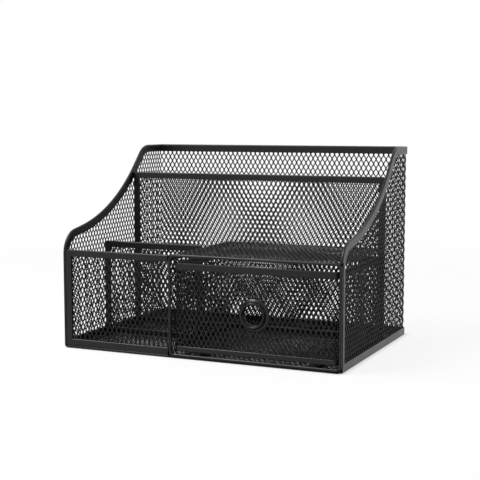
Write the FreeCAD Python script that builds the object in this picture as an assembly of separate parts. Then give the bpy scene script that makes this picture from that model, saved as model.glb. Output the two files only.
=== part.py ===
import FreeCAD, Part
import math
import os
from FreeCAD import Matrix, Vector

# Desk organiser in black powder-coated steel: an expanded-metal body with an open letter slot,
# two upright compartments, a shelf over a drawer bay, and one drawer with a ring pull.
# Millimetres. X runs left to right, Y front to back, Z up. The origin is the footprint's centre.

# ---- overall size ----
width = 220.0
depth = 156.0
height = 150.0

# ---- expanded sheet: two runs of leaning strands that join at a solid margin ----
strand_depth = 0.4
strand_width = 1.2
run_gap = 0.1
cell_short = 18.0
cell_long = 31.5
smallest_slot = 20.0  # area; a smaller corner opening stays closed

# ---- folded edge strip ----
strip_wall = 0.6
seat_gap = 0.1
margin_cover = 0.5
wall_strip = 6.0
base_strip = 6.0
panel_strip = 5.0
shelf_strip = 3.5
drawer_strip = 5.0
drawer_foot_strip = 4.0

# ---- outline of the two side walls, as straight runs with rounded corners ----
shoulder_height = 86.2
knee_setback = 72.3
knee_height = 98.9
crest_setback = 121.9
foot_radius = 2.5
shoulder_radius = 18.0
knee_radius = 150.0
crest_radius = 20.0
wrap_radius = 2.5
base_corner = 1.0

# ---- front panel and dividers ----
front_panel_drop = 0.9  # below the bay's top
short_divider_setback = 56.0
short_divider_rise = 0.3  # above the bay's top
tall_divider_setback = 103.2
tall_divider_height = 128.2
panel_corner = 2.0

# ---- drawer bay: round-wire front frame, left wall, shelf over it, two runners ----
bay_width = 131.7
bay_height = 75.4
wire = 2.2
wire_foot = 1.0
runner_height = 2.3
runner_width = 6.0
wire_corner = 5.0
wire_gap = 0.2
bare_margin = 2.0
runner_inset = 22.0

# ---- drawer ----
drawer_recess = 2.0
drawer_side_gap = 1.2
drawer_head_gap = 4.2
drawer_back_gap = 2.2
drawer_lift = 0.4
drawer_floor_lift = 0.3
drawer_bend = 4.0

# ---- ring pull ----
pull_hole_radius = 7.75
pull_wall = 0.8
pull_flange_radius = 11.6
pull_flange = 0.8
pull_reach = 5.0
pull_lip = 1.4
pull_curl = 1.6
pull_curl_depth = 0.8
pull_drop = 1.4
pull_offset = 0.9
eyelet_land = 1.6
eyelet_gap = 0.15

# ---- worked out from the sizes above ----
sheet = 2 * strand_depth + run_gap
fold = sheet + 2 * strip_wall
sheet_inset = strip_wall + seat_gap
left = -width / 2
right = width / 2
front = -depth / 2
back = depth / 2
inner_left = left + fold
inner_right = right - fold
bay_left = right - bay_width
bay_back = front + tall_divider_setback
wire_back = front + wire
runner_top = fold + runner_height
shelf_level = bay_height - wire / 2 - sheet / 2
front_panel_height = bay_height - front_panel_drop
short_divider_height = bay_height + short_divider_rise


def rounded_outline(points, radii):
    """A closed wire through the points, each corner rounded by its own radius."""
    count = len(points)
    starts, mids, ends = [], [], []
    for i in range(count):
        corner = Vector(*points[i], 0)
        to_last = (Vector(*points[i - 1], 0) - corner).normalize()
        to_next = (Vector(*points[(i + 1) % count], 0) - corner).normalize()
        half = to_last.getAngle(to_next) / 2
        tangent = radii[i] / math.tan(half)
        starts.append(corner + to_last * tangent)
        ends.append(corner + to_next * tangent)
        bisector = (to_last + to_next).normalize()
        mids.append(corner + bisector * (radii[i] / math.sin(half) - radii[i]))
    edges = []
    for i in range(count):
        if radii[i] > 0:
            edges.append(Part.Arc(starts[i], mids[i], ends[i]).toShape())
        following = starts[(i + 1) % count]
        if ends[i].distanceToPoint(following) > 1e-6:
            edges.append(Part.LineSegment(ends[i], following).toShape())
    return Part.Wire(edges)


def inset_face(points, radii, insets):
    """The face inside an anticlockwise outline, after edge i (from point i) moves inwards by insets[i]."""
    count = len(points)
    lines = []
    for i in range(count):
        start = Vector(*points[i], 0)
        along = (Vector(*points[(i + 1) % count], 0) - start).normalize()
        inward = Vector(-along.y, along.x, 0)
        lines.append((start + inward * insets[i], along))
    moved, rounds = [], []
    for i in range(count):
        before, before_dir = lines[i - 1]
        here, here_dir = lines[i]
        turn = before_dir.x * here_dir.y - before_dir.y * here_dir.x
        gap = here - before
        step = (gap.x * here_dir.y - gap.y * here_dir.x) / turn
        point = before + before_dir * step
        moved.append((point.x, point.y))
        inset = min(insets[i - 1], insets[i])
        shrunk = radii[i] - inset if turn > 0 else radii[i] + inset
        rounds.append(max(shrunk, 0.0) if radii[i] > 0 else 0.0)
    return Part.Face(rounded_outline(moved, rounds))


def rectangle(u0, v0, u1, v1):
    return [(u0, v0), (u1, v0), (u1, v1), (u0, v1)]


def regular_outline(centre, inner_radius, sides):
    step = 2 * math.pi / sides
    reach = inner_radius / math.cos(step / 2)
    turns = [step * (k + 0.5) for k in range(sides + 1)]
    return Part.makePolygon([centre + Vector(math.cos(a), math.sin(a), 0) * reach for a in turns])


def strand_slots(region, lean):
    """The openings between neighbouring strands that lean one way, trimmed to a region."""
    half_short = cell_short / 2
    half_long = cell_long / 2
    side = math.hypot(half_short, half_long)
    spacing = 2 * half_short * half_long / side
    along = Vector(lean * half_short / side, half_long / side, 0)
    across = Vector(half_long / side, -lean * half_short / side, 0)
    centre = region.BoundBox.Center
    reach = along * region.BoundBox.DiagonalLength
    count = math.ceil(region.BoundBox.DiagonalLength / 2 / spacing)
    slots = []
    for k in range(-count, count):
        near = centre + across * (k * spacing + strand_width / 2)
        far = centre + across * ((k + 1) * spacing - strand_width / 2)
        loop = [near - reach, far - reach, far + reach, near + reach, near - reach]
        slots.append(Part.Face(Part.makePolygon(loop)))
    trimmed = Part.makeCompound(slots).common(region)
    return [face for face in trimmed.Faces if face.Area > smallest_slot]


def mesh_sheet(outer, inner, eyelet=None):
    """One expanded sheet: two runs of strands, a full-thickness margin, and an optional eyelet."""
    margin = outer.cut(inner)
    region = inner
    if eyelet:
        centre, hole_radius, land_radius = eyelet
        land = Part.Face(regular_outline(centre, land_radius, 8))
        hole = Part.Face(Part.Wire(Part.makeCircle(hole_radius, centre)))
        region = inner.cut(land)
        outer = outer.cut(hole)
        margin = margin.fuse(land.cut(hole))
    up = Vector(0, 0, 1)
    runs = []
    for lean, level in ((1, 0.0), (-1, strand_depth + run_gap)):
        run = outer.cut(strand_slots(region, lean)).extrude(up * strand_depth)
        run.translate(up * level)
        runs.append(run)
    joint = margin.extrude(up * run_gap)
    joint.translate(up * strand_depth)
    return runs[0].fuse([joint, runs[1]])


def edge_strip(points, radii, faces, covers):
    """A strip folded round the edge of a sheet. faces: strip width on each edge, 0 where it has none."""
    up = Vector(0, 0, 1)
    beyond = [-fold if not face else 0.0 for face in faces]
    outer = inset_face(points, radii, [0.0] * len(points))
    window = inset_face(points, radii, [f if f else b for f, b in zip(faces, beyond)])
    pocket = inset_face(points, radii, [strip_wall if f else b for f, b in zip(faces, beyond)])
    strip = outer.cut(window).extrude(up * covers)
    groove = pocket.extrude(up * sheet)
    groove.translate(up * strip_wall)
    return strip.cut(groove)


def framed_sheet(points, radii, faces):
    """The sheet that fills an edge strip, in the strip's own frame; a bare edge ends flush."""
    outer = inset_face(points, radii, [sheet_inset if f else 0.0 for f in faces])
    inner = inset_face(points, radii, [f - margin_cover if f else bare_margin for f in faces])
    shape = mesh_sheet(outer, inner)
    shape.translate(Vector(0, 0, strip_wall))
    return shape


def placed(shape, corner, u, v):
    """Moves a shape drawn in the u-v plane to a corner in space; its thickness runs along u x v."""
    w = u.cross(v)
    shape = shape.copy()
    shape.transformShape(
        Matrix(u.x, v.x, w.x, corner.x, u.y, v.y, w.y, corner.y, u.z, v.z, w.z, corner.z, 0, 0, 0, 1)
    )
    return shape


along_x = Vector(1, 0, 0)
along_y = Vector(0, 1, 0)
along_z = Vector(0, 0, 1)


def facing_front(shape, x, y_back, z):
    """Stands a flat shape upright across the part; its thickness runs forwards from y_back."""
    return placed(shape, Vector(x, y_back, z), along_x, along_z)


def facing_side(shape, x_left, y, z):
    """Stands a flat shape upright along the part; its thickness runs right from x_left."""
    return placed(shape, Vector(x_left, y, z), along_y, along_z)


def lying(shape, x, y, z):
    return placed(shape, Vector(x, y, z), along_x, along_y)


def side_outline():
    """Side wall seen from the right: toe, back edge, crest, knee, shoulder."""
    straight = depth - wrap_radius
    points = [
        (0, 0),
        (straight, 0),
        (straight, height),
        (crest_setback, height),
        (knee_setback, knee_height),
        (0, shoulder_height),
    ]
    radii = [foot_radius, 0, 0, crest_radius, knee_radius, shoulder_radius]
    return points, radii


def side_strip(x_left):
    """The strip that runs along a side's bottom, front edge and curved top."""
    points, radii = side_outline()
    faces = [wall_strip, 0, wall_strip, wall_strip, wall_strip, wall_strip]
    return facing_side(edge_strip(points, radii, faces, fold), x_left, front, 0)


def side_mesh(x_left):
    points, radii = side_outline()
    rims = [sheet_inset, 0, sheet_inset, sheet_inset, sheet_inset, sheet_inset]
    inside = wall_strip - margin_cover
    outer = inset_face(points, radii, rims)
    inner = inset_face(points, radii, [inside, bare_margin, inside, inside, inside, inside])
    return facing_side(mesh_sheet(outer, inner), x_left + strip_wall, front, 0)


def bent_corner(x, y, sweep_from, outer_radius, thickness, z0, z1):
    """A quarter-round bend that carries a wall round an upright corner; x, y is the bend's centre."""
    ring = Part.makeCylinder(outer_radius, z1 - z0, Vector(x, y, z0), along_z, 90)
    ring = ring.cut(Part.makeCylinder(outer_radius - thickness, z1 - z0, Vector(x, y, z0), along_z, 90))
    ring.rotate(Vector(x, y, 0), along_z, sweep_from)
    return ring


def back_mesh():
    """The back wall with the bends that turn into the side walls."""
    flat = width - 2 * wrap_radius
    corners = rectangle(0, 0, flat, height)
    outer = inset_face(corners, [0] * 4, [sheet_inset, 0, sheet_inset, 0])
    inside = wall_strip - margin_cover
    inner = inset_face(corners, [0] * 4, [inside, bare_margin, inside, bare_margin])
    wall = facing_front(mesh_sheet(outer, inner), left + wrap_radius, back - strip_wall, 0)
    centre_y = back - wrap_radius
    radius = wrap_radius - strip_wall
    bends = []
    for x, start in ((left + wrap_radius, 90), (right - wrap_radius, 0)):
        bends.append(bent_corner(x, centre_y, start, radius, sheet, sheet_inset, height - sheet_inset))
    return wall.fuse(bends)


def back_strip(z0, opens_up):
    """A strip on the back wall's top or bottom edge, carried round both corners."""
    z1 = z0 + wall_strip
    grip0, grip1 = (z0 + strip_wall, z1) if opens_up else (z0, z1 - strip_wall)
    x0 = left + wrap_radius
    x1 = right - wrap_radius
    groove_y = back - strip_wall - sheet
    shells = [Part.makeBox(x1 - x0, fold, wall_strip, Vector(x0, back - fold, z0))]
    slots = [Part.makeBox(x1 - x0, sheet, grip1 - grip0, Vector(x0, groove_y, grip0))]
    centre_y = back - wrap_radius
    for x, start in ((x0, 90), (x1, 0)):
        shells.append(bent_corner(x, centre_y, start, wrap_radius, fold, z0, z1))
        slots.append(bent_corner(x, centre_y, start, wrap_radius - strip_wall, sheet, grip0, grip1))
    return shells[0].fuse(shells[1:]).cut(slots[0].fuse(slots[1:]))


def base():
    """The floor: its edge strip and its sheet, with the back corners eased to clear the wrapped walls."""
    corners = rectangle(0, 0, inner_right - inner_left, depth - fold)
    radii = [0, 0, base_corner, base_corner]
    faces = [base_strip] * 4
    parts = (edge_strip(corners, radii, faces, fold), framed_sheet(corners, radii, faces))
    frame, infill = [lying(shape, inner_left, front, 0) for shape in parts]
    return [frame.cut(base_wire_seat(wire_foot - seat_gap)), infill.cut(base_wire_seat(0))]


def panel(corners, radii, faces, y_front):
    """An upright panel on the base frame, from its left end: its edge strip and its sheet."""
    frame = edge_strip(corners, radii, faces, fold)
    infill = framed_sheet(corners, radii, faces)
    return [facing_front(shape, inner_left, y_front + fold, fold) for shape in (frame, infill)]


def front_panel():
    """Its right edge has no strip: it ends at the wire frame's upright."""
    corners = rectangle(0, 0, bay_left - wire_gap - inner_left, front_panel_height - fold)
    faces = [panel_strip, 0, panel_strip, panel_strip]
    return panel(corners, [panel_corner, 0, 0, panel_corner], faces, front)


def short_divider():
    corners = rectangle(0, 0, bay_left - wire_gap - inner_left, short_divider_height - fold)
    radii = [0, 0, 0, panel_corner]
    return panel(corners, radii, [panel_strip] * 4, front + short_divider_setback)


def tall_divider():
    """The wall between the letter slot and everything in front of it, from side wall to side wall."""
    corners = rectangle(0, 0, inner_right - inner_left, tall_divider_height - fold)
    return panel(corners, [0, 0, panel_corner, panel_corner], [panel_strip] * 4, bay_back)


def wire_ring():
    """The round wire bent to the drawer opening's outline; each bend is drawn as two mitres."""
    radius = wire / 2
    x0, x1 = bay_left + radius, right - radius
    z0, z1 = wire_foot + radius, bay_height - radius
    cut = (wire_corner - radius) * (2 - math.sqrt(2))
    path = [
        ((x0 + x1) / 2, z0),
        (x1 - cut, z0),
        (x1, z0 + cut),
        (x1, z1 - cut),
        (x1 - cut, z1),
        (x0 + cut, z1),
        (x0, z1 - cut),
        (x0, z0 + cut),
        (x0 + cut, z0),
        ((x0 + x1) / 2, z0),
    ]
    run = Part.makePolygon([Vector(x, front + radius, z) for x, z in path])
    section = Part.Wire(Part.makeCircle(radius, run.Vertexes[0].Point, along_x))
    right_corners = 1
    return run.makePipeShell([section], True, True, right_corners)


def side_wire_seat():
    """Room in the right side strip for the wire frame's upright."""
    z0 = wire_foot - seat_gap
    return Part.makeBox(fold, wire + wire_gap, bay_height + wire_gap - z0, Vector(inner_right, front, z0))


def base_wire_seat(z0):
    """Room in the base for the wire frame's lower run, from a height up."""
    x0 = bay_left - wire_gap
    return Part.makeBox(inner_right - x0, wire + wire_gap, fold - z0, Vector(x0, front, z0))


def shelf_wall():
    """The bay's left wall and the strip folded over its top edge."""
    run = bay_back - wire_back - 2 * wire_gap
    rise = shelf_level - fold
    corners = rectangle(0, 0, run, rise)
    strip = edge_strip(corners, [0] * 4, [0, 0, shelf_strip, 0], fold)
    outer = inset_face(corners, [0] * 4, [0, 0, sheet_inset, 0])
    inner = inset_face(corners, [0] * 4, [bare_margin, bare_margin, shelf_strip - margin_cover, bare_margin])
    infill = mesh_sheet(outer, inner)
    y = wire_back + wire_gap
    return [
        facing_side(strip, bay_left, y, fold),
        facing_side(infill, bay_left + strip_wall, y, fold),
    ]


def shelf_mesh():
    corners = rectangle(0, 0, inner_right - bay_left, bay_back - wire_back - 2 * wire_gap)
    outer = inset_face(corners, [0] * 4, [0] * 4)
    inner = inset_face(corners, [0] * 4, [bare_margin] * 4)
    return lying(mesh_sheet(outer, inner), bay_left, wire_back + wire_gap, shelf_level)


def runner(x):
    """A flat bar on the base that the drawer slides along; x is its middle."""
    long = bay_back - wire_back - 2 * wire_gap
    corner = Vector(x - runner_width / 2, wire_back + wire_gap, fold)
    return Part.makeBox(runner_width, long, runner_height, corner)


# ---- drawer box, worked out from the opening that it slides through ----
drawer_left = bay_left + wire + drawer_side_gap
drawer_right = right - wire - drawer_side_gap
drawer_front = front + drawer_recess
drawer_back = bay_back - drawer_back_gap
drawer_bottom = runner_top + drawer_lift
drawer_top = bay_height - wire - drawer_head_gap
pull_x = (drawer_left + drawer_right) / 2 + pull_offset
pull_z = (drawer_bottom + drawer_top) / 2 - pull_drop
drawer_sheet_front = drawer_front + strip_wall


def drawer_ring(inset, thickness, z0, z1):
    """An upright band that follows the drawer's plan, its outer face set in from the drawer's."""
    corners = rectangle(drawer_left, drawer_front, drawer_right, drawer_back)
    outer = inset_face(corners, [drawer_bend] * 4, [inset] * 4)
    inner = inset_face(corners, [drawer_bend] * 4, [inset + thickness] * 4)
    band = outer.cut(inner).extrude(along_z * (z1 - z0))
    band.translate(along_z * z0)
    return band


def drawer_top_strip():
    z0 = drawer_top - drawer_strip
    return drawer_ring(0, fold, z0, drawer_top).cut(drawer_ring(strip_wall, sheet, z0, drawer_top - strip_wall))


def drawer_bottom_strip():
    z1 = drawer_bottom + drawer_foot_strip
    grip = drawer_ring(strip_wall, sheet, drawer_bottom + strip_wall, z1)
    return drawer_ring(0, fold, drawer_bottom, z1).cut(grip)


def drawer_wall(run, eyelet=None):
    """A flat wall of the drawer, in its own frame; its top and bottom margins sit in the strips."""
    corners = rectangle(0, 0, run, drawer_top - drawer_bottom - 2 * sheet_inset)
    foot = drawer_foot_strip - sheet_inset - margin_cover
    head = drawer_strip - sheet_inset - margin_cover
    outer = inset_face(corners, [0] * 4, [0] * 4)
    inner = inset_face(corners, [0] * 4, [foot, bare_margin, head, bare_margin])
    return mesh_sheet(outer, inner, eyelet)


def drawer_front_mesh():
    run = drawer_right - drawer_left - 2 * drawer_bend
    x0 = drawer_left + drawer_bend
    z0 = drawer_bottom + sheet_inset
    tube_radius = pull_hole_radius + pull_wall
    eyelet = (Vector(pull_x - x0, pull_z - z0, 0), tube_radius + eyelet_gap, tube_radius + eyelet_land)
    return facing_front(drawer_wall(run, eyelet), x0, drawer_sheet_front + sheet, z0)


def drawer_back_mesh():
    run = drawer_right - drawer_left - 2 * drawer_bend
    z0 = drawer_bottom + sheet_inset
    return facing_front(drawer_wall(run), drawer_left + drawer_bend, drawer_back - strip_wall, z0)


def drawer_side_mesh(x_left, bend_x, front_turn, back_turn):
    """A side wall of the drawer with the bends that turn into its front and back walls."""
    y0 = drawer_front + drawer_bend
    y1 = drawer_back - drawer_bend
    z0 = drawer_bottom + sheet_inset
    z1 = drawer_top - sheet_inset
    wall = facing_side(drawer_wall(y1 - y0), x_left, y0, z0)
    bends = []
    for y, turn in ((y0, front_turn), (y1, back_turn)):
        bends.append(bent_corner(bend_x, y, turn, drawer_bend - strip_wall, sheet, z0, z1))
    return wall.fuse(bends)


def drawer_floor_mesh():
    corners = rectangle(drawer_left, drawer_front, drawer_right, drawer_back)
    outer = inset_face(corners, [drawer_bend] * 4, [fold] * 4)
    inner = inset_face(corners, [drawer_bend] * 4, [fold + bare_margin] * 4)
    floor = mesh_sheet(outer, inner)
    floor.translate(along_z * (drawer_bottom + drawer_floor_lift))
    return floor


def pull_ring():
    """Eyelet that grips the mesh: a flared lip and a flange in front, a tube, and a curl behind."""
    hole = pull_hole_radius
    tube = hole + pull_wall
    lip = hole + pull_lip
    profile = [
        (hole, sheet + pull_curl_depth),
        (hole, -pull_reach),
        (lip, -pull_reach),
        (pull_flange_radius, -pull_flange),
        (pull_flange_radius, 0),
        (tube, 0),
        (tube, sheet),
        (tube + pull_curl, sheet),
        (hole, sheet + pull_curl_depth),
    ]
    face = Part.Face(Part.makePolygon([Vector(r, reach, 0) for r, reach in profile]))
    ring = face.revolve(Vector(0, 0, 0), along_y, 360)
    ring.translate(Vector(pull_x, drawer_sheet_front, pull_z))
    return ring


def build():
    floor_frame, floor_infill = base()
    front_frame, front_infill = front_panel()
    short_frame, short_infill = short_divider()
    tall_frame, tall_infill = tall_divider()
    wall_strip_piece, wall_infill = shelf_wall()
    side_sheet_left = drawer_left + strip_wall
    side_sheet_right = drawer_right - strip_wall - sheet
    bend_left = drawer_left + drawer_bend
    bend_right = drawer_right - drawer_bend
    return {
        "left_side_mesh": side_mesh(left),
        "right_side_mesh": side_mesh(inner_right).cut(side_wire_seat()),
        "back_mesh": back_mesh(),
        "left_side_strip": side_strip(left),
        "right_side_strip": side_strip(inner_right).cut(side_wire_seat()),
        "back_top_strip": back_strip(height - wall_strip, False),
        "back_bottom_strip": back_strip(0, True),
        "base_mesh": floor_infill,
        "base_frame": floor_frame,
        "front_panel_mesh": front_infill,
        "front_panel_frame": front_frame,
        "short_divider_mesh": short_infill,
        "short_divider_frame": short_frame,
        "tall_divider_mesh": tall_infill,
        "tall_divider_frame": tall_frame,
        "bay_wall_mesh": wall_infill,
        "bay_wall_strip": wall_strip_piece,
        "shelf_mesh": shelf_mesh(),
        "bay_front_wire": wire_ring(),
        "left_runner": runner(bay_left + runner_inset),
        "right_runner": runner(right - runner_inset),
        "drawer_front_mesh": drawer_front_mesh(),
        "drawer_back_mesh": drawer_back_mesh(),
        "drawer_left_mesh": drawer_side_mesh(side_sheet_left, bend_left, 180, 90),
        "drawer_right_mesh": drawer_side_mesh(side_sheet_right, bend_right, 270, 0),
        "drawer_floor_mesh": drawer_floor_mesh(),
        "drawer_top_strip": drawer_top_strip(),
        "drawer_bottom_strip": drawer_bottom_strip(),
        "pull_ring": pull_ring(),
    }


os.makedirs("parts", exist_ok=True)
for name, shape in build().items():
    solids = shape.removeSplitter().Solids
    node = solids[0] if len(solids) == 1 else Part.makeCompound(solids)
    print(f"{name}: {len(solids)} solid, {node.Volume:.0f} mm3, valid {node.isValid()}")
    node.exportStep(f"parts/{name}.step")
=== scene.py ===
from math import atan2, ceil, cos, pi, radians, sin

import bmesh
import bpy
import numpy as np
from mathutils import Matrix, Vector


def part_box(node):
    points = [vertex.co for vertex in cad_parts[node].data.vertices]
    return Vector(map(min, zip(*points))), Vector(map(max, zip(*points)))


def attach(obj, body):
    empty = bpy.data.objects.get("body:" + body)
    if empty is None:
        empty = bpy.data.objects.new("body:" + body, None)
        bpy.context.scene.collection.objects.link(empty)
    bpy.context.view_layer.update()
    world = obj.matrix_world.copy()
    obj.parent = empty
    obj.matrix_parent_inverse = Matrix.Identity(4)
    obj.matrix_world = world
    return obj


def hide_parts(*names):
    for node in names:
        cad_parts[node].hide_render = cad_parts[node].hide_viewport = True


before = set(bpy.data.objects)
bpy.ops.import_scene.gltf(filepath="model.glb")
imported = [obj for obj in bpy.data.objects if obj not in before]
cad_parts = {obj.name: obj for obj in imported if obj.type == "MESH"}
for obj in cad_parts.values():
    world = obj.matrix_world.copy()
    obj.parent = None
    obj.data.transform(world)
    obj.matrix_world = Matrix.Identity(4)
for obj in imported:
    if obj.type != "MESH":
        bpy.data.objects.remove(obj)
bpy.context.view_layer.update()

# Desk organiser in black powder-coated steel, in expanded mesh with folded edge strips.
# Sizes below are millimetres, and scaled to metres when a mesh is made.
mm = 0.001
axisX, axisY, axisZ = np.eye(3)


def nodeBox(node):
    low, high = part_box(node)
    return np.array(low) / mm, np.array(high) / mm


def addNode(tree, kind, inputs=(), **settings):
    node = tree.nodes.new(kind)
    for name, value in settings.items():
        setattr(node, name, value)
    for key, value in dict(inputs).items():
        if isinstance(value, bpy.types.NodeSocket):
            tree.links.new(value, node.inputs[key])
        else:
            node.inputs[key].default_value = value
    return node


def newObject(name, data):
    item = bpy.data.objects.new(name, data)
    bpy.context.scene.collection.objects.link(item)
    return item


# The mesh of an object with its modifiers applied.
def appliedMesh(item):
    return bpy.data.meshes.new_from_object(item.evaluated_get(bpy.context.evaluated_depsgraph_get()))


def hexColour(code):
    channels = [int(code[i:i + 2], 16) / 255 for i in (1, 3, 5)]
    linear = [c / 12.92 if c <= 0.04045 else ((c + 0.055) / 1.055) ** 2.4 for c in channels]
    return (*linear, 1.0)


# Polyester powder coat on mild steel: sprayed and baked, so it is a satin film with fine orange peel
# that softens reflections, and it pools a little lighter and darker over a few centimetres.
powderCoat = {
    "peelSize": 0.7,           # mm between bumps, slightly coarser than real so that it shows
    "peelHeight": 0.012,       # mm
    "peelStrength": 0.6,
    "peelDetail": 2.0,         # octaves of the bumps' noise
    "cloudSize": 18.0,         # mm between patches of slightly different tone
    "cloudDetail": 4.0,        # octaves of the patches' noise
    "toneRange": (0.35, 0.7),  # values of the cloud noise for the dark and the light tone
    "roughRange": (0.3, 0.7),  # the same for the lower and the higher roughness
    "ior": 1.5,
    "specular": 0.3,           # a duller film than the usual 0.5
}


def coatMaterial(name, tones, roughness):
    material = bpy.data.materials.new(name)
    material.use_nodes = True
    tree = material.node_tree
    shader = tree.nodes["Principled BSDF"]
    spot = addNode(tree, "ShaderNodeTexCoord").outputs["Object"]
    peel = addNode(tree, "ShaderNodeTexNoise", {
        "Vector": spot, "Scale": 1 / (powderCoat["peelSize"] * mm),
        "Detail": powderCoat["peelDetail"]})
    cloud = addNode(tree, "ShaderNodeTexNoise", {
        "Vector": spot, "Scale": 1 / (powderCoat["cloudSize"] * mm),
        "Detail": powderCoat["cloudDetail"]})
    tone = addNode(tree, "ShaderNodeValToRGB", {"Fac": cloud.outputs["Fac"]})
    for stop, position, code in zip(tone.color_ramp.elements, powderCoat["toneRange"], tones):
        stop.position, stop.color = position, hexColour(code)
    rough = addNode(tree, "ShaderNodeMapRange", {
        "Value": cloud.outputs["Fac"], "From Min": powderCoat["roughRange"][0],
        "From Max": powderCoat["roughRange"][1], "To Min": roughness[0], "To Max": roughness[1]})
    bump = addNode(tree, "ShaderNodeBump", {
        "Height": peel.outputs["Fac"], "Strength": powderCoat["peelStrength"],
        "Distance": powderCoat["peelHeight"] * mm})
    tree.links.new(tone.outputs["Color"], shader.inputs["Base Color"])
    tree.links.new(rough.outputs["Result"], shader.inputs["Roughness"])
    tree.links.new(bump.outputs["Normal"], shader.inputs["Normal"])
    shader.inputs["IOR"].default_value = powderCoat["ior"]
    shader.inputs["Specular IOR Level"].default_value = powderCoat["specular"]
    return material


# Flat folded strip keeps the coat smooth, and drawn steel under it is smoother still. The slit edges
# of the mesh take it thinner and rougher.
coats = {
    "strip_coat": coatMaterial(
        "powderCoatedSteelStrip", tones=("#0b0b0c", "#121213"), roughness=(0.26, 0.36)),
    "mesh_coat": coatMaterial(
        "powderCoatedExpandedSteel", tones=("#0a0a0b", "#101011"), roughness=(0.28, 0.38)),
    "pull_coat": coatMaterial(
        "powderCoatedDrawnSteel", tones=("#0b0b0c", "#121213"), roughness=(0.22, 0.30)),
}
print("materials made")


# Turns coordinates drawn in a plane into places: u and v span the plane, w stands on it.
def place(coords, corner, u, v):
    coords = np.asarray(coords, float)
    w = np.cross(u, v)
    return corner + coords[:, :1] * u + coords[:, 1:2] * v + coords[:, 2:3] * w


meshRepair = {"merge": 1e-6, "thin": 1e-7}  # metres
crease = {"strip": 40, "bar": 40, "pull": 50}  # degrees above which an edge stays sharp


def shadeSmooth(mesh, angle):
    mesh.polygons.foreach_set("use_smooth", [True] * len(mesh.polygons))
    mesh.set_sharp_from_angle(angle=radians(angle))


def newMesh(name, points, faces, angle):
    mesh = bpy.data.meshes.new(name)
    mesh.from_pydata((np.asarray(points) * mm).tolist(), [], faces)
    tidy = bmesh.new()
    tidy.from_mesh(mesh)
    bmesh.ops.remove_doubles(tidy, verts=tidy.verts, dist=meshRepair["merge"])
    bmesh.ops.dissolve_degenerate(tidy, edges=tidy.edges, dist=meshRepair["thin"])
    bmesh.ops.recalc_face_normals(tidy, faces=tidy.faces)
    tidy.to_mesh(mesh)
    tidy.free()
    shadeSmooth(mesh, angle)
    return mesh


# A piece is named after its node, in camel case.
def pieceName(node):
    first, *rest = node.split("_")
    return first + "".join(word.title() for word in rest)


def finishPiece(mesh, node, body, slot):
    piece = newObject(pieceName(node), mesh)
    mesh.materials.clear()
    mesh.materials.append(coats[slot])
    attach(piece, body)
    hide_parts(node)


arcStep = {"angle": 9, "length": 3, "smallest": 0.02}  # degrees, mm; a smaller radius stays sharp


# Samples along a path of straight runs and rounded corners, moved to the left of travel by inset.
# Every inset gives as many samples, so the rings of a sweep match one to one.
def pathSamples(points, radii, inset, closed):
    points = [np.array(p, float) for p in points]
    samples = []
    for i, corner in enumerate(points):
        if not closed and i in (0, len(points) - 1):
            run = points[1] - corner if i == 0 else corner - points[-2]
            run = run / np.linalg.norm(run)
            samples.append(corner + inset * np.array([-run[1], run[0]]))
            continue
        before = corner - points[i - 1]
        after = points[(i + 1) % len(points)] - corner
        before, after = before / np.linalg.norm(before), after / np.linalg.norm(after)
        leftBefore, leftAfter = np.array([-before[1], before[0]]), np.array([-after[1], after[0]])
        mitre = (leftBefore + leftAfter) / (1 + leftBefore @ leftAfter)
        if radii[i] == 0:
            samples.append(corner + inset * mitre)
            continue
        turn = atan2(before[0] * after[1] - before[1] * after[0], before @ after)
        side = 1 if turn > 0 else -1
        centre = corner + side * radii[i] * mitre
        reach = radii[i] - side * inset
        steps = max(ceil(abs(turn) / radians(arcStep["angle"])),
                    ceil(radii[i] * abs(turn) / arcStep["length"]))
        for k in range(steps + 1):
            if reach < arcStep["smallest"]:
                samples.append(corner + inset * mitre)
                continue
            angle = turn * k / steps
            x, y = -side * leftBefore
            out = np.array([x * cos(angle) - y * sin(angle), x * sin(angle) + y * cos(angle)])
            samples.append(centre + reach * out)
    return np.array(samples)


def sweepGrid(rings, closed):
    count, around = len(rings), len(rings[0])
    faces = []
    for i in range(count if closed else count - 1):
        for j in range(around):
            here, there = i * around, (i + 1) % count * around
            faces.append((here + j, here + (j + 1) % around, there + (j + 1) % around, there + j))
    if not closed:
        faces.append(tuple(range(around))[::-1])
        faces.append(tuple((count - 1) * around + j for j in range(around)))
    return np.concatenate(rings), faces


stripStock = {  # mm
    "wall": 0.6, "thickness": 2.1, "foldRadius": 0.85, "innerRadius": 0.25, "turnSteps": 4,
    "hem": 0.2,                       # chamfer along the two free edges
    "foldEase": 0.4, "hemEase": 0.3,  # narrow flats beside the fold and the chamfer, to hold the shading
}


# The strip's section as (distance in from the folded edge, distance across its thickness).
def channelSection(face):
    wall, thick = stripStock["wall"], stripStock["thickness"]
    r, hem, inner = stripStock["foldRadius"], stripStock["hem"], stripStock["innerRadius"]
    turns = [pi / 2 * k / stripStock["turnSteps"] for k in range(stripStock["turnSteps"] + 1)]
    foldEnd, hemStart = r + stripStock["foldEase"], face - hem - stripStock["hemEase"]
    section = [(r - r * sin(a), r - r * cos(a)) for a in turns]
    section += [(r - r * cos(a), thick - r + r * sin(a)) for a in turns]
    section += [(foldEnd, thick), (hemStart, thick), (face - hem, thick), (face, thick - hem)]
    section += [(face, thick - wall), (wall + inner, thick - wall), (wall, thick - wall - inner)]
    section += [(wall, wall + inner), (wall + inner, wall), (face, wall)]
    section += [(face, hem), (face - hem, 0), (hemStart, 0), (foldEnd, 0)]
    return section


# Rings of a section given as (inset from the path, level), one at each sample of the path.
def channelRings(points, radii, closed, section):
    columns = [(pathSamples(points, radii, inset, closed), level) for inset, level in section]
    samples = range(len(columns[0][0]))
    return [np.array([[*path[i], level] for path, level in columns]) for i in samples]


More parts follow.
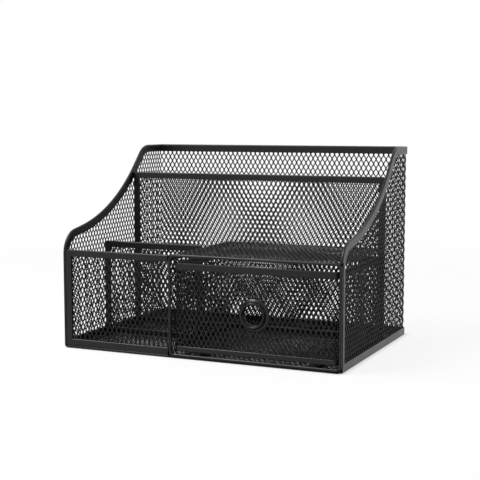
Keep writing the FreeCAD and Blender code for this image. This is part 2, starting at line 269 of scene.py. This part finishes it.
# A strip that runs in the plane of its panel: the section's depth is the inset, across is the level.
def edgeStrip(node, points, radii, face, closed, corner, u, v):
    coords, faces = sweepGrid(channelRings(points, radii, closed, channelSection(face)), closed)
    return newMesh(pieceName(node), place(coords, corner, u, v), faces, crease["strip"])


# A strip bent round upright corners: the section's depth is the height, across is the inset.
def rimStrip(node, points, radii, face, closed, edge, grows):
    section = [(inset, edge + grows * depth) for depth, inset in channelSection(face)]
    coords, faces = sweepGrid(channelRings(points, radii, closed, section), closed)
    return newMesh(pieceName(node), coords, faces, crease["strip"])


sideWall = {
    # Y and Z from the toe, in mm
    "points": [(153.5, 150), (121.9, 150), (72.3, 98.9), (0, 86.2), (0, 0), (153.5, 0)],
    "radii": [0, 20, 150, 18, 2.5, 0],
    "face": 6.0,
    "cornerFrom": 153, "goesOn": 40,  # the mesh goes on round the back corner, and so does its outline
}
wireSeat = {  # room for the bay wire in the right side strip and the base frame
    "depth": 2.4, "bottom": 0.9, "top": 75.6, "left": -21.9,
    "past": 1,  # how far a cutter reaches beyond what it cuts
}


def boxBetween(low, high):
    box = bmesh.new()
    bmesh.ops.create_cube(box, size=1.0)
    for vert in box.verts:
        vert.co = [(low[k] + (high[k] - low[k]) * (vert.co[k] + 0.5)) * mm for k in range(3)]
    return box


def cutBox(mesh, low, high):
    boxMesh = bpy.data.meshes.new("cutter")
    cutter = boxBetween(low, high)
    cutter.to_mesh(boxMesh)
    cutter.free()
    whole, box = newObject("whole", mesh), newObject("box", boxMesh)
    cut = whole.modifiers.new("cut", "BOOLEAN")
    cut.operation, cut.solver, cut.object = "DIFFERENCE", "EXACT", box
    result = appliedMesh(whole)
    for item in (whole, box):
        bpy.data.objects.remove(item)
    return result


def sideStrips():
    past = wireSeat["past"]
    for node in ("left_side_strip", "right_side_strip"):
        low, high = nodeBox(node)
        mesh = edgeStrip(node, sideWall["points"], sideWall["radii"], sideWall["face"], False,
                         np.array([low[0], low[1], 0]), axisY, axisZ)
        if node == "right_side_strip":
            mesh = cutBox(mesh, (low[0] - past, low[1] - past, wireSeat["bottom"]),
                          (high[0] + past, low[1] + wireSeat["depth"], wireSeat["top"]))
        finishPiece(mesh, node, "body", "strip_coat")


def rectangle(u0, v0, u1, v1):
    return [(u0, v0), (u1, v0), (u1, v1), (u0, v1)]


# Widths of the strips round the panels, and radii of their corners.
panelFrames = {"face": 5.0, "corner": 2.0, "baseFace": 6.0, "baseCorner": 1.0, "shelfFace": 3.5}


def baseFrame():
    node, past = "base_frame", wireSeat["past"]
    low, high = nodeBox(node)
    mesh = edgeStrip(node, rectangle(0, 0, high[0] - low[0], high[1] - low[1]),
                     [0, 0, panelFrames["baseCorner"], panelFrames["baseCorner"]],
                     panelFrames["baseFace"], True, low, axisX, axisY)
    mesh = cutBox(mesh, (wireSeat["left"], low[1] - past, wireSeat["bottom"]),
                  (high[0] + past, low[1] + wireSeat["depth"], high[2] + past))
    finishPiece(mesh, node, "body", "strip_coat")


# The front panel's frame has no strip on its right edge; the dividers' frames go all round.
def standingFrames():
    r = panelFrames["corner"]
    for node, radii, closed in (("front_panel_frame", [0, r, r, 0], False),
                                ("short_divider_frame", [0, 0, 0, r], True),
                                ("tall_divider_frame", [0, 0, r, r], True)):
        low, high = nodeBox(node)
        w, h = high[0] - low[0], high[2] - low[2]
        points = rectangle(0, 0, w, h) if closed else [(w, h), (0, h), (0, 0), (w, 0)]
        mesh = edgeStrip(node, points, radii, panelFrames["face"], closed,
                         np.array([low[0], high[1], low[2]]), axisX, axisZ)
        finishPiece(mesh, node, "body", "strip_coat")


def bayWallStrip():
    node = "bay_wall_strip"
    low, high = nodeBox(node)
    mesh = edgeStrip(node, [(high[1] - low[1], high[2]), (0, high[2])], [0, 0],
                     panelFrames["shelfFace"], False, np.array([low[0], low[1], 0]), axisY, axisZ)
    finishPiece(mesh, node, "body", "strip_coat")


wrap = {"radius": 2.5, "rimFace": 6.0}  # the back wall's corner bends, and its strips' height
drawerBox = {
    "bend": 4.0, "topFace": 5.0, "bottomFace": 4.0,
    "underBottom": 2.4, "underTop": 2.8,  # strands whose middle is nearer to an edge are left out
    "firstBond": 0.5,                     # height of a row of bonds above the bottom edge
}


def backStrips():
    low, high = nodeBox("back_top_strip")
    toe = high[1] - wrap["radius"]
    points = [(high[0], toe), (high[0], high[1]), (low[0], high[1]), (low[0], toe)]
    radii = [0, wrap["radius"], wrap["radius"], 0]
    for node, edge, grows in (("back_top_strip", high[2], -1), ("back_bottom_strip", 0.0, 1)):
        mesh = rimStrip(node, points, radii, wrap["rimFace"], False, edge, grows)
        finishPiece(mesh, node, "body", "strip_coat")


def drawerStrips():
    for node, face, top in (("drawer_top_strip", drawerBox["topFace"], True),
                            ("drawer_bottom_strip", drawerBox["bottomFace"], False)):
        low, high = nodeBox(node)
        edge, grows = (high[2], -1) if top else (low[2], 1)
        mesh = rimStrip(node, rectangle(low[0], low[1], high[0], high[1]), [drawerBox["bend"]] * 4,
                        face, True, edge, grows)
        finishPiece(mesh, node, "drawer", "strip_coat")


sideStrips()
baseFrame()
standingFrames()
bayWallStrip()
backStrips()
drawerStrips()
print("edge strips made")


def newTree(name, inputs):
    tree = bpy.data.node_groups.new(name, "GeometryNodeTree")
    for label, kind in inputs:
        tree.interface.new_socket(name=label, in_out="INPUT", socket_type=kind)
    tree.interface.new_socket(name="Geometry", in_out="OUTPUT", socket_type="NodeSocketGeometry")
    return tree, tree.nodes.new("NodeGroupInput").outputs, tree.nodes.new("NodeGroupOutput").inputs


number, metal = "NodeSocketFloat", "NodeSocketMaterial"
strandInputs = [("Short Pitch", number), ("Long Pitch", number), ("Strand Width", number),
                ("Strand Thickness", number), ("Bond Length", number), ("Lean", number)]
bondShift = 0.25  # of a strand's width, from the bond's middle to the strand's
strandCorners = 4


# A strand runs up one side of a bond, slants across to the next bond, and runs up that one's near
# side. The coat fills the bonds, so the two strands of a bond sit half in each other.
def strandTree():
    tree, given, result = newTree("meshStrand", strandInputs + [("Direction", number)])

    def product(first, second):
        return addNode(tree, "ShaderNodeMath", {0: first, 1: second}, operation="MULTIPLY").outputs[0]

    offMiddle = product(given["Strand Width"], bondShift)
    farX = addNode(tree, "ShaderNodeMath", {
        0: given["Short Pitch"], 1: 0.5, 2: product(offMiddle, -1.0),
    }, operation="MULTIPLY_ADD").outputs[0]
    halfBond = product(product(given["Bond Length"], 0.5), given["Direction"])
    farY = product(product(given["Long Pitch"], 0.5), given["Direction"])
    nearFarY = addNode(tree, "ShaderNodeMath", {0: farY, 1: halfBond}, operation="SUBTRACT").outputs[0]
    corners = [(offMiddle, 0.0), (offMiddle, halfBond), (farX, nearFarY), (farX, farY)]
    pick = addNode(tree, "GeometryNodeIndexSwitch", data_type="VECTOR")
    while len(pick.index_switch_items) < strandCorners:
        pick.index_switch_items.new()
    tree.links.new(addNode(tree, "GeometryNodeInputIndex").outputs[0], pick.inputs["Index"])
    for k, (x, y) in enumerate(corners):
        spot = addNode(tree, "ShaderNodeCombineXYZ", {"X": x, "Y": y})
        tree.links.new(spot.outputs[0], pick.inputs[k + 1])
    line = addNode(tree, "GeometryNodeMeshLine", {"Count": strandCorners})
    bent = addNode(tree, "GeometryNodeSetPosition", {
        "Geometry": line.outputs[0], "Position": pick.outputs[0]})
    curve = addNode(tree, "GeometryNodeMeshToCurve", {"Mesh": bent.outputs[0]})
    level = addNode(tree, "GeometryNodeSetCurveNormal", {"Curve": curve.outputs[0]}, mode="Z_UP")
    leant = addNode(tree, "GeometryNodeSetCurveTilt", {
        "Curve": level.outputs[0], "Tilt": product(given["Lean"], given["Direction"])})
    section = addNode(tree, "GeometryNodeCurvePrimitiveQuadrilateral", {
        "Width": given["Strand Width"], "Height": given["Strand Thickness"]})
    tube = addNode(tree, "GeometryNodeCurveToMesh", {
        "Curve": leant.outputs[0], "Profile Curve": section.outputs[0], "Fill Caps": True})
    tree.links.new(tube.outputs[0], result[0])
    return tree


# Smooths, realises and coats what a tree made.
def finishTree(tree, made, given, result):
    smooth = addNode(tree, "GeometryNodeSetShadeSmooth", {"Geometry": made.outputs[0]})
    real = addNode(tree, "GeometryNodeRealizeInstances", {"Geometry": smooth.outputs[0]})
    coated = addNode(tree, "GeometryNodeSetMaterial", {
        "Geometry": real.outputs[0], "Material": given["Material"]})
    tree.links.new(coated.outputs[0], result[0])


# The strands are shaded smooth, because the coat rounds the slit edges.
def sheetTree():
    tree, given, result = newTree("expandedSheet", [
        ("Bonds", "NodeSocketGeometry"), *strandInputs, ("Material", metal)])
    falls = addNode(tree, "GeometryNodeInputNamedAttribute", {"Name": "falls"}, data_type="BOOLEAN")
    rises = addNode(tree, "FunctionNodeBooleanMath", {0: falls.outputs[0]}, operation="NOT")
    join = addNode(tree, "GeometryNodeJoinGeometry")
    for direction, chosen in ((1.0, rises.outputs[0]), (-1.0, falls.outputs[0])):
        strand = addNode(tree, "GeometryNodeGroup", node_tree=strandGroup)
        for label, _ in strandInputs:
            tree.links.new(given[label], strand.inputs[label])
        strand.inputs["Direction"].default_value = direction
        spread = addNode(tree, "GeometryNodeInstanceOnPoints", {
            "Points": given["Bonds"], "Selection": chosen, "Instance": strand.outputs[0]})
        tree.links.new(spread.outputs[0], join.inputs[0])
    finishTree(tree, join, given, result)
    return tree


strandGroup = strandTree()
sheetGroup = sheetTree()


# Evaluates a tree on a mesh with named values, and returns a plain mesh with its coordinates in mm.
def evaluateTree(tree, start, values):
    holder = newObject("holder", start)
    modifier = holder.modifiers.new("nodes", "NODES")
    modifier.node_group = tree
    for item in tree.interface.items_tree:
        if item.item_type == "SOCKET" and item.in_out == "INPUT" and item.name in values:
            modifier[item.identifier] = values[item.name]
    mesh = appliedMesh(holder)
    bpy.data.objects.remove(holder)
    coords = np.empty(len(mesh.vertices) * 3)
    mesh.vertices.foreach_get("co", coords)
    return mesh, coords.reshape(-1, 3) / mm


def putBack(mesh, coords):
    mesh.vertices.foreach_set("co", (coords * mm).ravel())
    mesh.update()


expandedMesh = {  # mm
    "pitches": (3.9, 7.1),          # across and along the openings
    "wallPitch": 4.12,              # across the openings of the outer walls
    "dividerPitches": (3.97, 6.9),  # of the tall divider
    "drawerPitch": 3.77,            # across the openings of the drawer's walls
    "strand": (0.74, 0.38),         # width and thickness
    "wallStrand": (0.92, 0.5),
    "shelfStrand": (0.6, 0.36),
    "bondLength": 1.4,
    "lean": radians(12),            # strands twist about their length when the slit sheet is stretched
    "underStrip": 3.2,              # strands whose middle is nearer to a stripped edge are left out
    "bareEdge": 2.0,                # the same at the bay wall's top
    "dividerBond": 1.5,             # height of a row of bonds above the dividers' bottom edge
    "wallBond": 1.0,                # the same on the outer walls
}


# Start points of strands on a lattice over a rectangle, with a flag for those that fall.
def latticeStrands(u0, u1, v0, v1, origin, short, long):
    spare = 2  # half pitches beyond the rectangle
    i0, i1 = int((u0 - origin[0]) / (short / 2)) - spare, int((u1 - origin[0]) / (short / 2)) + spare
    j0, j1 = int((v0 - origin[1]) / (long / 2)) - spare, int((v1 - origin[1]) / (long / 2)) + spare
    i, j = np.meshgrid(np.arange(i0, i1 + 1), np.arange(j0, j1 + 1))
    keep = (i + j) % 2 == 0
    bonds = np.column_stack([origin[0] + i[keep] * short / 2, origin[1] + j[keep] * long / 2])
    starts = np.concatenate([bonds, bonds])
    falls = np.arange(len(starts)) >= len(bonds)
    middles = starts + np.column_stack([
        np.full(len(starts), short / 4), np.where(falls, -long / 4, long / 4)])
    return starts, falls, middles


# How far inside an outline each point is; negative outside.
def clearance(points, outline):
    outline = np.asarray(outline, float)
    ends = np.roll(outline, -1, 0)
    run = ends - outline
    away = points[:, None] - outline[None]
    tiny = 1e-9  # keeps a division off zero
    share = np.clip((away * run).sum(2) / np.maximum((run ** 2).sum(1), tiny), 0, 1)
    gap = np.linalg.norm(away - share[..., None] * run, axis=2).min(1)
    straddles = (outline[:, 1] > points[:, None, 1]) != (ends[:, 1] > points[:, None, 1])
    slope = run[:, 0] / np.where(abs(run[:, 1]) < tiny, tiny, run[:, 1])
    crosses = straddles & (away[..., 0] < (points[:, None, 1] - outline[:, 1]) * slope)
    return np.where(crosses.sum(1) % 2 == 1, gap, -gap)


def strandCoords(starts, falls, pitches, lean, strand):
    seeds = bpy.data.meshes.new("bonds")
    seeds.from_pydata(np.column_stack([starts * mm, np.zeros(len(starts))]).tolist(), [], [])
    seeds.attributes.new("falls", "BOOLEAN", "POINT").data.foreach_set("value", falls.tolist())
    return evaluateTree(sheetGroup, seeds, {
        "Short Pitch": pitches[0] * mm, "Long Pitch": pitches[1] * mm,
        "Strand Width": strand[0] * mm, "Strand Thickness": strand[1] * mm,
        "Bond Length": expandedMesh["bondLength"] * mm,
        "Lean": lean, "Material": coats["mesh_coat"]})


# A flat sheet: strands whose middle lies in the region, which is drawn in the sheet's own plane.
def flatSheet(node, body, region, origin, corner, u, v, pitches,
              lean=1, strand=expandedMesh["strand"]):
    region = np.array(region, float)
    (u0, v0), (u1, v1) = region.min(0), region.max(0)
    starts, falls, middles = latticeStrands(u0, u1, v0, v1, origin, *pitches)
    keep = clearance(middles, region) > 0
    mesh, coords = strandCoords(starts[keep], falls[keep], pitches,
                                lean * expandedMesh["lean"], strand)
    putBack(mesh, place(coords, corner, u, v))
    finishPiece(mesh, node, body, "mesh_coat")


# The pitch nearest to the usual one at which both ends of a length fall on bonds.
def fitted(length, pitch):
    return 2 * length / round(2 * length / pitch)


# A sheet that stands across the organiser in its frame. Without an origin for its bonds it has a bare
# right edge, and the bonds start there.
def standingSheet(node, frameNode, origin, pitches):
    under = expandedMesh["underStrip"]
    low, high = nodeBox(frameNode)
    w, h = high[0] - low[0], high[2] - low[2]
    region = rectangle(under, under, w - under if origin else w, h - under)
    corner = np.array([low[0], (low[1] + high[1]) / 2, low[2]])
    flatSheet(node, "body", region, origin or (w, 0), corner, axisX, axisZ, pitches, lean=-1)


# A sheet that lies flat, with whole openings from edge to edge unless a frame covers them.
def lyingSheet(node, body, frameNode=None, **settings):
    under = expandedMesh["underStrip"] if frameNode else 0
    low, high = nodeBox(frameNode or node)
    w, h = high[0] - low[0], high[1] - low[1]
    across, along = expandedMesh["pitches"]
    pitches = (across, along) if frameNode else (fitted(w, across), fitted(h, along))
    corner = np.array([low[0], low[1], (low[2] + high[2]) / 2])
    flatSheet(node, body, rectangle(under, under, w - under, h - under), (0, 0), corner,
              axisX, axisY, pitches, **settings)


def bayWallMesh():
    low, high = nodeBox("bay_wall_mesh")
    w, h = high[1] - low[1], high[2] - low[2]
    across, along = expandedMesh["pitches"]
    corner = np.array([(low[0] + high[0]) / 2, low[1], low[2]])
    flatSheet("bay_wall_mesh", "body", rectangle(0, 0, w, h - expandedMesh["bareEdge"]), (0, 0),
              corner, axisY, axisZ, (fitted(w, across), along))


def flatSheets():
    usual, wide = expandedMesh["pitches"], expandedMesh["dividerPitches"]
    bond = (0, expandedMesh["dividerBond"])
    standingSheet("front_panel_mesh", "front_panel_frame", None, usual)
    standingSheet("short_divider_mesh", "short_divider_frame", bond, usual)
    standingSheet("tall_divider_mesh", "tall_divider_frame", bond, wide)
    bayWallMesh()
    lyingSheet("shelf_mesh", "body", lean=0, strand=expandedMesh["shelfStrand"])
    lyingSheet("base_mesh", "body", "base_frame")
    lyingSheet("drawer_floor_mesh", "drawer")


# A wall bent round upright corners: where the sheet's own length is in plan, and its inward normal.
def wallPath(points, radii, closed):
    mid = stripStock["thickness"] / 2
    line = pathSamples(points, radii, mid, closed)
    aside = 0.5  # mm to either side, which gives the inward direction
    inward = (pathSamples(points, radii, mid + aside, closed)
              - pathSamples(points, radii, mid - aside, closed))
    if closed:
        line, inward = np.vstack([line, line[:1]]), np.vstack([inward, inward[:1]])
    along = np.concatenate([[0], np.cumsum(np.linalg.norm(np.diff(line, axis=0), axis=1))])

    def bend(coords):
        s = coords[:, 0] % along[-1] if closed else np.clip(coords[:, 0], 0, along[-1])
        spot = np.column_stack([np.interp(s, along, line[:, k]) for k in (0, 1)])
        normal = np.column_stack([np.interp(s, along, inward[:, k]) for k in (0, 1)])
        normal /= np.linalg.norm(normal, axis=1, keepdims=True)
        return np.column_stack([spot - coords[:, 2:3] * normal, coords[:, 1]])

    return along[-1], bend


def outerWalls():
    under = expandedMesh["underStrip"]
    low, high = nodeBox("back_top_strip")
    toe = nodeBox("left_side_strip")[0][1]
    turn = high[1] - wrap["radius"]
    length, bend = wallPath([(high[0], toe), (high[0], high[1]), (low[0], high[1]), (low[0], toe)],
                            [0, wrap["radius"], wrap["radius"], 0], False)
    pitches = (fitted(length, expandedMesh["wallPitch"]), expandedMesh["pitches"][1])
    bond = (0, expandedMesh["wallBond"])
    starts, falls, middles = latticeStrands(0, length, 0, high[2], bond, *pitches)
    outline = pathSamples(sideWall["points"], sideWall["radii"], 0, False)
    outline[outline[:, 0] > sideWall["cornerFrom"]] += (sideWall["goesOn"], 0)
    plan = bend(np.column_stack([middles, np.zeros(len(middles))]))
    inBack = plan[:, 1] > turn
    inRight = ~inBack & (plan[:, 0] > 0)
    inLeft = ~inBack & (plan[:, 0] < 0)
    fromToe = np.where(plan[:, 0] > 0, middles[:, 0], length - middles[:, 0])
    sideClear = clearance(np.column_stack([fromToe, middles[:, 1]]), outline) > under
    backClear = (middles[:, 1] > under) & (middles[:, 1] < high[2] - under)
    for node, keep in (("right_side_mesh", inRight & sideClear), ("back_mesh", inBack & backClear),
                       ("left_side_mesh", inLeft & sideClear)):
        mesh, coords = strandCoords(starts[keep], falls[keep], pitches, expandedMesh["lean"],
                                    expandedMesh["wallStrand"])
        putBack(mesh, bend(coords))
        finishPiece(mesh, node, "body", "mesh_coat")


pull = {  # mm from the pull's middle or from the mesh
    "strandsFrom": 9.3,  # strands whose middle is nearer are left out
    "strandEnds": 8.1,   # the others end here, in the pull's tube
    "reach": 5.0,
    "sides": 72,
}


def drawerWalls():
    low, high = nodeBox("drawer_top_strip")
    bottom = nodeBox("drawer_bottom_strip")[0][2]
    length, bend = wallPath(rectangle(low[0], low[1], high[0], high[1]), [drawerBox["bend"]] * 4, True)
    columns = round(length / expandedMesh["drawerPitch"])
    pitches = (length / columns, expandedMesh["pitches"][1])
    bond = (0, bottom + drawerBox["firstBond"])
    starts, falls, middles = latticeStrands(0, length, bottom, high[2], bond, *pitches)
    slack = 1e-6  # so that the column where the wall meets itself counts once
    once = (starts[:, 0] > -slack) & (starts[:, 0] < length - slack)
    once &= middles[:, 1] > bottom + drawerBox["underBottom"]
    once &= middles[:, 1] < high[2] - drawerBox["underTop"]
    starts, falls, middles = starts[once], falls[once], middles[once]
    plan = bend(np.column_stack([middles, np.zeros(len(middles))]))
    ring = nodeBox("pull_ring")
    centre = np.array([(ring[0][0] + ring[1][0]) / 2, (ring[0][2] + ring[1][2]) / 2])
    between = (plan[:, 0] > low[0] + drawerBox["bend"]) & (plan[:, 0] < high[0] - drawerBox["bend"])
    atFront = between & (plan[:, 1] < low[1] + drawerBox["bend"])
    atBack = between & (plan[:, 1] > high[1] - drawerBox["bend"])
    clearOfPull = np.linalg.norm(plan[:, [0, 2]] - centre, axis=1) > pull["strandsFrom"]
    sides = ~atFront & ~atBack
    for node, keep in (("drawer_front_mesh", atFront & clearOfPull), ("drawer_back_mesh", atBack),
                       ("drawer_left_mesh", sides & (plan[:, 0] < centre[0])),
                       ("drawer_right_mesh", sides & (plan[:, 0] > centre[0]))):
        mesh, coords = strandCoords(starts[keep], falls[keep], pitches, expandedMesh["lean"],
                                    expandedMesh["strand"])
        coords = bend(coords)
        if node == "drawer_front_mesh":
            away = coords[:, [0, 2]] - centre
            reach = np.linalg.norm(away, axis=1, keepdims=True)
            push = np.maximum(1, pull["strandEnds"] / np.maximum(reach, slack))
            coords[:, [0, 2]] = centre + away * push
        putBack(mesh, coords)
        finishPiece(mesh, node, "drawer", "mesh_coat")


flatSheets()
outerWalls()
drawerWalls()
print("expanded mesh made")


bayWire = {"diameter": 2.2, "bend": 3.9, "steps": 10, "sides": 20}  # mm


def wireTree():
    tree, given, result = newTree("bentWire", [
        ("Start", "NodeSocketGeometry"), ("Span", number), ("Rise", number), ("Bend", number),
        ("Diameter", number), ("Steps", "NodeSocketInt"), ("Sides", "NodeSocketInt"),
        ("Material", metal)])
    outline = addNode(tree, "GeometryNodeCurvePrimitiveQuadrilateral", {
        "Width": given["Span"], "Height": given["Rise"]})
    rounded = addNode(tree, "GeometryNodeFilletCurve", {
        "Curve": outline.outputs[0], "Radius": given["Bend"], "Count": given["Steps"]}, mode="POLY")
    half = addNode(tree, "ShaderNodeMath", {0: given["Diameter"], 1: 0.5}, operation="MULTIPLY")
    section = addNode(tree, "GeometryNodeCurvePrimitiveCircle", {
        "Resolution": given["Sides"], "Radius": half.outputs[0]})
    rod = addNode(tree, "GeometryNodeCurveToMesh", {
        "Curve": rounded.outputs[0], "Profile Curve": section.outputs[0]})
    finishTree(tree, rod, given, result)
    return tree


def bayFrontWire():
    low, high = nodeBox("bay_front_wire")
    d = bayWire["diameter"]
    mesh, coords = evaluateTree(wireTree(), bpy.data.meshes.new("start"), {
        "Span": (high[0] - low[0] - d) * mm, "Rise": (high[2] - low[2] - d) * mm,
        "Bend": bayWire["bend"] * mm, "Diameter": d * mm, "Steps": bayWire["steps"],
        "Sides": bayWire["sides"], "Material": coats["strip_coat"]})
    putBack(mesh, place(coords, (low + high) / 2, axisX, axisZ))
    finishPiece(mesh, "bay_front_wire", "body", "strip_coat")


bayFrontWire()


# The ring pull is a drawn eyelet, flared at the front and curled over the mesh behind.
pullSection = [  # radius, distance in front of the mesh
    (8.55, -0.9), (8.9, -1.5), (9.6, -1.85), (10.15, -1.5), (10.1, -1.0), (9.4, -0.95), (8.6, -0.6),
    (8.6, 0.0), (11.2, 0.02), (11.55, 0.25), (11.6, 0.6), (11.3, 0.95), (10.75, 1.2), (10.2, 1.6),
    (9.8, 2.2), (9.45, 2.9), (9.25, 3.6), (9.15, 4.2), (9.0, 4.65), (8.75, 4.92), (8.45, 5.0),
    (8.15, 4.9), (7.88, 4.6), (7.75, 4.1), (7.75, 2.0), (7.75, 0.0), (7.78, -1.1), (8.05, -1.75),
    (8.9, -2.3), (9.9, -2.4)]


def pullRing():
    low, high = nodeBox("pull_ring")
    x, z = (low[0] + high[0]) / 2, (low[2] + high[2]) / 2
    face = low[1] + pull["reach"]
    rings = []
    for k in range(pull["sides"]):
        a = 2 * pi * k / pull["sides"]
        rings.append(np.array([[x + r * cos(a), face - y, z + r * sin(a)] for r, y in pullSection]))
    coords, faces = sweepGrid(rings, True)
    mesh = newMesh("pullRing", coords, faces, crease["pull"])
    finishPiece(mesh, "pull_ring", "drawer", "pull_coat")


pullRing()


runnerEdge = {"bevel": 0.6, "segments": 3}  # mm


def runners():
    for node in ("left_runner", "right_runner"):
        mesh = bpy.data.meshes.new(pieceName(node))
        bar = boxBetween(*nodeBox(node))
        bmesh.ops.bevel(bar, geom=bar.edges[:], offset=runnerEdge["bevel"] * mm,
                        segments=runnerEdge["segments"], affect="EDGES")
        bar.to_mesh(mesh)
        bar.free()
        shadeSmooth(mesh, crease["bar"])
        finishPiece(mesh, node, "body", "strip_coat")


runners()
print("wire, pull and runners made")


# The floor is a pale sheet of paper. It and the room show white, and the paper's own shade, with the
# object's shadow, is mixed in near the object. The room gives less light from the front.
stage = {  # metres
    "paperSize": 2.0, "paperHex": "#f2f2f2", "paperRoughness": 0.9,
    "shadeNear": 0.25, "shadeFar": 0.95,                # from the origin, where paper turns plain white
    "plainNear": 0.86,                                  # share of plain white near the object
    "footprint": (0.110, 0.079, 0),                     # half sizes, with no plain white inside
    "footprintEdge": (-0.006, 0.004),
    "dimSide": 0.03, "backSide": 0.35, "ceiling": 0.7,  # strength of the room's light
    "dimFrom": 0.1, "dimTo": 0.7,                       # Y of the direction looked in
    "ceilingFrom": 0.45, "ceilingTo": 0.8,              # Z of the direction looked in
}
white = (1, 1, 1, 1)


def either(tree, first, second):
    return addNode(tree, "ShaderNodeMath", {0: first, 1: second}, operation="MAXIMUM").outputs[0]


# The camera, and what metal and glass reflect or let through, see plain white.
def whiteRays(tree):
    path = addNode(tree, "ShaderNodeLightPath").outputs
    thrown = either(tree, path["Is Glossy Ray"], path["Is Transmission Ray"])
    return either(tree, path["Is Camera Ray"], thrown)


def makeFloor():
    half = stage["paperSize"] / 2
    mesh = bpy.data.meshes.new("floor")
    corners = [(x, y, 0) for x, y in rectangle(-half, -half, half, half)]
    mesh.from_pydata(corners, [], [(0, 1, 2, 3)])
    floor = newObject("floor", mesh)
    material = bpy.data.materials.new("paleStudioPaper")
    material.use_nodes = True
    tree = material.node_tree
    shader = tree.nodes["Principled BSDF"]
    shader.inputs["Base Color"].default_value = hexColour(stage["paperHex"])
    shader.inputs["Roughness"].default_value = stage["paperRoughness"]
    spot = addNode(tree, "ShaderNodeTexCoord").outputs["Object"]
    glow = addNode(tree, "ShaderNodeEmission", {"Color": white, "Strength": 1.0})
    away = addNode(tree, "ShaderNodeVectorMath", {0: spot}, operation="LENGTH")
    plain = addNode(tree, "ShaderNodeMapRange", {
        "Value": away.outputs["Value"], "From Min": stage["shadeNear"], "From Max": stage["shadeFar"],
        "To Min": stage["plainNear"], "To Max": 1.0}, interpolation_type="SMOOTHSTEP")
    mirrored = addNode(tree, "ShaderNodeVectorMath", {0: spot}, operation="ABSOLUTE")
    past = addNode(tree, "ShaderNodeVectorMath", {
        0: mirrored.outputs["Vector"], 1: stage["footprint"]}, operation="SUBTRACT")
    beyond = addNode(tree, "ShaderNodeSeparateXYZ", {"Vector": past.outputs["Vector"]}).outputs
    outside = addNode(tree, "ShaderNodeMapRange", {
        "Value": either(tree, beyond["X"], beyond["Y"]),
        "From Min": stage["footprintEdge"][0], "From Max": stage["footprintEdge"][1]})
    plainShare = addNode(tree, "ShaderNodeMath", {
        0: plain.outputs["Result"], 1: outside.outputs["Result"]}, operation="MULTIPLY")
    share = addNode(tree, "ShaderNodeMath", {
        0: whiteRays(tree), 1: plainShare.outputs[0]}, operation="MULTIPLY")
    mix = addNode(tree, "ShaderNodeMixShader", {
        "Fac": share.outputs[0], 1: shader.outputs[0], 2: glow.outputs[0]})
    tree.links.new(mix.outputs[0], tree.nodes["Material Output"].inputs["Surface"])
    material.cycles.emission_sampling = "NONE"
    mesh.materials.append(material)


def makeWorld():
    world = bpy.data.worlds.new("paleRoom")
    bpy.context.scene.world = world
    world.use_nodes = True
    tree = world.node_tree
    background = tree.nodes["Background"]
    background.inputs["Color"].default_value = white
    toward = addNode(tree, "ShaderNodeSeparateXYZ", {
        "Vector": addNode(tree, "ShaderNodeTexCoord").outputs["Generated"]}).outputs
    walls = addNode(tree, "ShaderNodeMapRange", {
        "Value": toward["Y"], "From Min": stage["dimFrom"], "From Max": stage["dimTo"],
        "To Min": stage["dimSide"], "To Max": stage["backSide"]}, interpolation_type="SMOOTHSTEP")
    ceiling = addNode(tree, "ShaderNodeMapRange", {
        "Value": toward["Z"], "From Min": stage["ceilingFrom"], "From Max": stage["ceilingTo"],
        "To Min": 0.0, "To Max": stage["ceiling"]}, interpolation_type="SMOOTHSTEP")
    room = either(tree, walls.outputs["Result"], ceiling.outputs["Result"])
    tree.links.new(either(tree, room, whiteRays(tree)), background.inputs["Strength"])


lamps = [  # name, watts, size, place
    ("overheadSoftbox", 8.0, (0.5, 0.35), (-0.42, -0.35, 0.85)),
    ("rightSoftbox", 2.0, (0.4, 0.5), (0.9, 0.45, 0.5)),
]
lampAim = np.array((0, 0, 0.07))


def makeLamps():
    for name, watts, size, spot in lamps:
        light = bpy.data.lights.new(name, "AREA")
        light.shape, light.size, light.size_y, light.energy = "RECTANGLE", size[0], size[1], watts
        lamp = newObject(name, light)
        lamp.location = spot
        x, y, z = lampAim - np.array(spot)
        lamp.rotation_euler = (atan2(np.hypot(x, y), -z), 0, atan2(x, -y) + pi)


view = {  # metres, degrees and mm
    "place": (0.3454, -0.7651, 0.1690), "pitch": 83.86, "yaw": 24.29, "lens": 82.2, "sensor": 36.0,
}


def makeCamera():
    data = bpy.data.cameras.new("camera")
    data.lens, data.sensor_width = view["lens"], view["sensor"]
    camera = newObject("camera", data)
    camera.location = view["place"]
    camera.rotation_euler = (radians(view["pitch"]), 0, radians(view["yaw"]))
    bpy.context.scene.camera = camera
    bpy.context.scene.view_settings.view_transform = "Standard"


makeFloor()
makeWorld()
makeLamps()
makeCamera()
print("stage, light and camera made")
